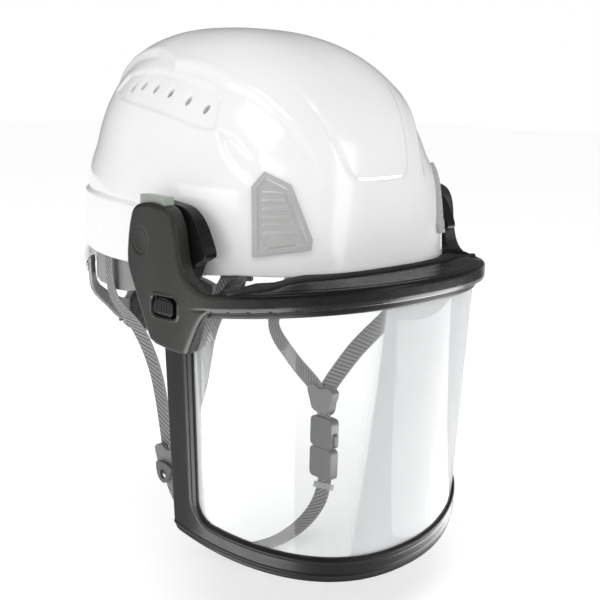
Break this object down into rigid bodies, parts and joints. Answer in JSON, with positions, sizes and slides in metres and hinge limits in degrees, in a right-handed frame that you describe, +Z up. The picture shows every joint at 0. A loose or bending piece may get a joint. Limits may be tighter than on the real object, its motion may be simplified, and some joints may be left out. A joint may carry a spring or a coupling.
{
  "type": "arborist helmet",
  "caption": "Arborist climbing helmet: vented shell with strap harness, nape ratchet, buckled chin strap and a hinged full-face clear visor on a black brow carrier",
  "frame": {"origin": "seat of the head: on the centre plane, level with the front rim of the shell", "axes": "+Z up, +Y towards the back of the head, +X towards the wearer's left"},
  "size_m": [0.2754, 0.3298, 0.3993],
  "materials": {
    "shell": "glossy moulded ABS",
    "clip": "satin moulded",
    "black_plastic": "satin to semi-gloss moulded nylon",
    "gasket": "matt rubber",
    "lens": "clear polycarbonate",
    "steel": "plated",
    "grey_plastic": "matt moulded acetal",
    "dark_grey_plastic": "matt moulded acetal",
    "lock_grey": "satin moulded",
    "foam": "knitted cover over foam",
    "webbing": "woven polyester webbing"
  },
  "bodies": {
    "helmet": {"shell": "shell", "lamp_clip_left": "clip", "lamp_clip_right": "clip", "adapter_left": "black_plastic", "adapter_right": "black_plastic", "detent_ring_left": "black_plastic", "detent_ring_right": "black_plastic", "pivot_screw_left": "steel", "pivot_screw_right": "steel", "nape_rivet_left": "steel", "nape_rivet_right": "steel", "pivot_pin_left": "grey_plastic", "pivot_pin_right": "grey_plastic", "cradle_clip_front_left": "grey_plastic", "cradle_clip_front_right": "grey_plastic", "cradle_clip_rear_left": "grey_plastic", "cradle_clip_rear_right": "grey_plastic", "strap_anchor_front_left": "grey_plastic", "strap_anchor_front_right": "grey_plastic", "strap_anchor_rear_left": "grey_plastic", "strap_anchor_rear_right": "grey_plastic", "strap_divider_left": "grey_plastic", "strap_divider_right": "grey_plastic", "strap_keeper": "grey_plastic", "strap_slider": "grey_plastic", "buckle_female": "dark_grey_plastic", "buckle_male": "dark_grey_plastic", "headband": "dark_grey_plastic", "sweatband": "foam", "crown_pad": "foam", "crown_cradle": "webbing", "strap_front_left": "webbing", "strap_front_right": "webbing", "strap_rear_left": "webbing", "strap_rear_right": "webbing", "strap_upper_left": "webbing", "chin_strap": "webbing"},
    "visor": {"carrier": "black_plastic", "brow_gasket": "gasket", "visor_frame": "black_plastic", "lens": "lens", "detent_spring_left": "steel", "detent_spring_right": "steel"},
    "latch_left": {"visor_latch_left": "black_plastic"},
    "latch_right": {"visor_latch_right": "black_plastic"},
    "lock_left": {"lock_button_left": "lock_grey"},
    "lock_right": {"lock_button_right": "lock_grey"},
    "nape": {"nape_cradle": "grey_plastic", "nape_cover": "grey_plastic", "nape_pad": "foam"},
    "knob": {"ratchet_knob": "dark_grey_plastic", "pinion": "grey_plastic"},
    "rack_slide_left": {"rack_left": "grey_plastic"},
    "rack_slide_right": {"rack_right": "grey_plastic"},
    "lever_left": {"strap_lever_left": "dark_grey_plastic"},
    "lever_right": {"strap_lever_right": "dark_grey_plastic"},
    "tab_front": {"buckle_tab_front": "dark_grey_plastic"},
    "tab_rear": {"buckle_tab_rear": "dark_grey_plastic"}
  },
  "joints": [
    {"name": "visor_lift", "type": "hinge", "parent": "helmet", "child": "visor", "pos_m": [0, -0.053, 0.026], "axis": [-1, 0, 0], "range_deg": [0, 60]},
    {"name": "latch_left_slide", "type": "slide", "parent": "visor", "child": "latch_left", "axis": [0, -1, 0], "range_m": [0, 0.0018], "stiffness_N_per_m": 300, "springref_m": -0.001},
    {"name": "latch_right_slide", "type": "slide", "parent": "visor", "child": "latch_right", "axis": [0, -1, 0], "range_m": [0, 0.0018], "stiffness_N_per_m": 300, "springref_m": -0.001},
    {"name": "lock_left_press", "type": "slide", "parent": "visor", "child": "lock_left", "axis": [0, 0, -1], "range_m": [0, 0.0022], "stiffness_N_per_m": 400, "springref_m": -0.001},
    {"name": "lock_right_press", "type": "slide", "parent": "visor", "child": "lock_right", "axis": [0, 0, -1], "range_m": [0, 0.0022], "stiffness_N_per_m": 400, "springref_m": -0.001},
    {"name": "nape_tilt", "type": "hinge", "parent": "helmet", "child": "nape", "pos_m": [0, 0.09201, -0.024], "axis": [1, 0, 0], "range_deg": [-5, 9]},
    {"name": "knob_turn", "type": "hinge", "parent": "nape", "child": "knob", "pos_m": [0, 0.12, -0.067], "axis": [0, 1, 0], "range_deg": [-100, 100]},
    {"name": "rack_left_slide", "type": "slide", "parent": "nape", "child": "rack_slide_left", "axis": [1, 0, 0], "range_m": [-0.0096, 0.0096]},
    {"name": "rack_right_slide", "type": "slide", "parent": "nape", "child": "rack_slide_right", "axis": [-1, 0, 0], "range_m": [-0.0096, 0.0096]},
    {"name": "lever_left_open", "type": "hinge", "parent": "helmet", "child": "lever_left", "pos_m": [0.07625, -0.015, -0.1388], "axis": [0, -1, 0], "range_deg": [0, 38]},
    {"name": "lever_right_open", "type": "hinge", "parent": "helmet", "child": "lever_right", "pos_m": [-0.08125, -0.002, -0.1608], "axis": [0, 1, 0], "range_deg": [0, 38]},
    {"name": "tab_front_press", "type": "slide", "parent": "helmet", "child": "tab_front", "axis": [0, 1, 0], "range_m": [0, 0.0015], "stiffness_N_per_m": 600, "springref_m": -0.001},
    {"name": "tab_rear_press", "type": "slide", "parent": "helmet", "child": "tab_rear", "axis": [0, -1, 0], "range_m": [0, 0.0015], "stiffness_N_per_m": 600, "springref_m": -0.001}
  ],
  "couplings": [
    {"joint": "rack_left_slide", "follows": "knob_turn", "m_per_rad": 0.0054},
    {"joint": "rack_right_slide", "follows": "knob_turn", "m_per_rad": 0.0054}
  ]
}
